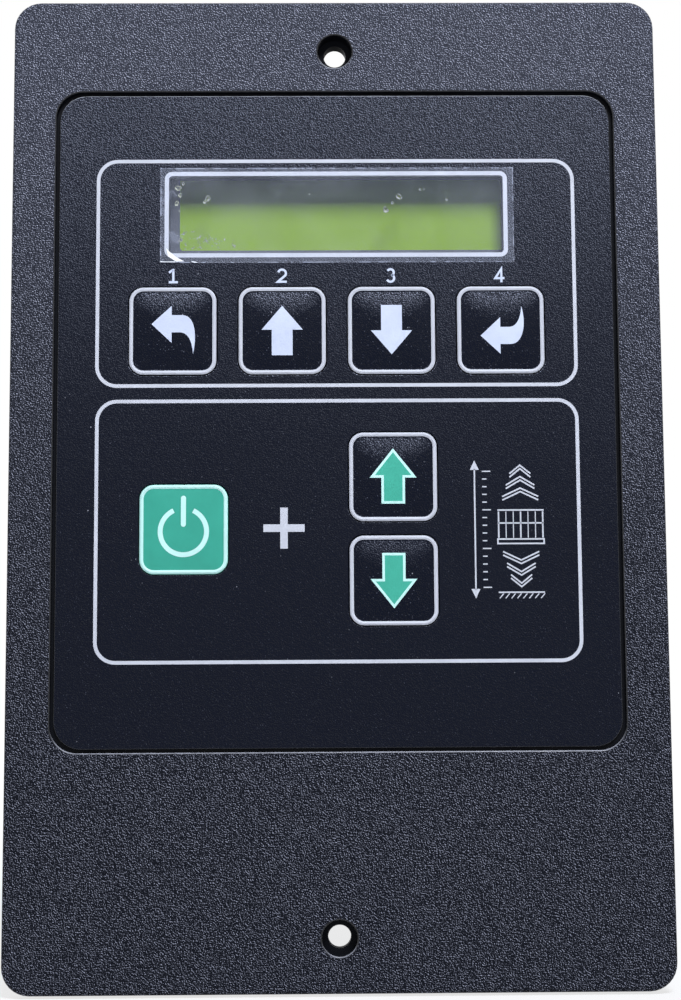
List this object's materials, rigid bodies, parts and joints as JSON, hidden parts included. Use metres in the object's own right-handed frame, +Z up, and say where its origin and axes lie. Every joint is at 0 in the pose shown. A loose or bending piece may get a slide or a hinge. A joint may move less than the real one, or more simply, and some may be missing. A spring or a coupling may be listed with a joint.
{
  "type": "scissor lift control box",
  "caption": "Panel-mounted control box for a scissor lift, with a keypad, a small display behind a clear window, and a sealed rear housing with two cable headers.",
  "frame": {"origin": "midway between the two mounting holes, on the back plane of the front panel", "axes": "+Z up the panel, +X to the right as the keypad is read, -Y out of the panel's face towards the reader; the rear housing lies towards +Y"},
  "size_m": [0.131, 0.0473, 0.199],
  "materials": {
    "housing_plastic": "fine spark grain, satin",
    "overlay_film": "fine matt polyester",
    "adhesive": "dull",
    "clear_pane": "clear, polished",
    "protective_film": "clear, slightly milky",
    "key_black": "fine matt polyester",
    "key_green": "printed, satin",
    "print_white": "printed ink, satin",
    "print_green": "printed ink, satin",
    "nylon": "satin",
    "switch_plastic": "satin",
    "board_green": "solder mask",
    "screw_steel": "zinc plated",
    "lcd_metal": "black oxide",
    "lcd_glass": "yellow-green display, satin polariser",
    "light_guide": "milky",
    "chip_resin": "moulded resin",
    "capacitor_sleeve": "sleeve",
    "relay_case": "moulded",
    "rear_plastic": "fine spark grain, satin",
    "seal_rubber": "dull",
    "seal_silicone": "dull",
    "header_grey": "moulded, satin",
    "header_black": "moulded, satin",
    "contact_brass": "plated"
  },
  "bodies": {
    "housing": {"front_housing": "housing_plastic", "graphic_overlay": "overlay_film", "overlay_adhesive": "adhesive", "display_window": "clear_pane", "window_film": "protective_film", "switches": "switch_plastic", "main_board": "board_green", "board_screws": "screw_steel", "lcd_frame": "lcd_metal", "lcd_glass": "lcd_glass", "lcd_backlight": "light_guide", "lcd_board": "board_green", "lcd_spacers": "nylon", "lcd_screws": "screw_steel", "lcd_header": "switch_plastic", "controller_chip": "chip_resin", "driver_chips": "chip_resin", "capacitors": "capacitor_sleeve", "relays": "relay_case", "sounder": "switch_plastic", "rear_seal": "seal_rubber", "rear_housing": "rear_plastic", "rear_screws": "screw_steel", "grey_connector": "header_grey", "black_connector": "header_black", "grey_connector_pins": "contact_brass", "black_connector_pins": "contact_brass", "connector_seals": "seal_silicone", "connector_screws": "screw_steel"},
    "back_key": {"key_back": "key_black", "plunger_back": "nylon"},
    "up_key": {"key_up": "key_black", "plunger_up": "nylon"},
    "down_key": {"key_down": "key_black", "plunger_down": "nylon"},
    "enter_key": {"key_enter": "key_black", "plunger_enter": "nylon"},
    "power_key": {"key_power": "key_green", "plunger_power": "nylon"},
    "raise_key": {"key_raise": "key_black", "plunger_raise": "nylon"},
    "lower_key": {"key_lower": "key_black", "plunger_lower": "nylon"}
  },
  "joints": [
    {"name": "back_key_press", "type": "slide", "parent": "housing", "child": "back_key", "axis": [0, 1, 0], "range_m": [0, 0.0006], "stiffness_N_per_m": 3000},
    {"name": "up_key_press", "type": "slide", "parent": "housing", "child": "up_key", "axis": [0, 1, 0], "range_m": [0, 0.0006], "stiffness_N_per_m": 3000},
    {"name": "down_key_press", "type": "slide", "parent": "housing", "child": "down_key", "axis": [0, 1, 0], "range_m": [0, 0.0006], "stiffness_N_per_m": 3000},
    {"name": "enter_key_press", "type": "slide", "parent": "housing", "child": "enter_key", "axis": [0, 1, 0], "range_m": [0, 0.0006], "stiffness_N_per_m": 3000},
    {"name": "power_key_press", "type": "slide", "parent": "housing", "child": "power_key", "axis": [0, 1, 0], "range_m": [0, 0.0006], "stiffness_N_per_m": 3000},
    {"name": "raise_key_press", "type": "slide", "parent": "housing", "child": "raise_key", "axis": [0, 1, 0], "range_m": [0, 0.0006], "stiffness_N_per_m": 3000},
    {"name": "lower_key_press", "type": "slide", "parent": "housing", "child": "lower_key", "axis": [0, 1, 0], "range_m": [0, 0.0006], "stiffness_N_per_m": 3000}
  ]
}
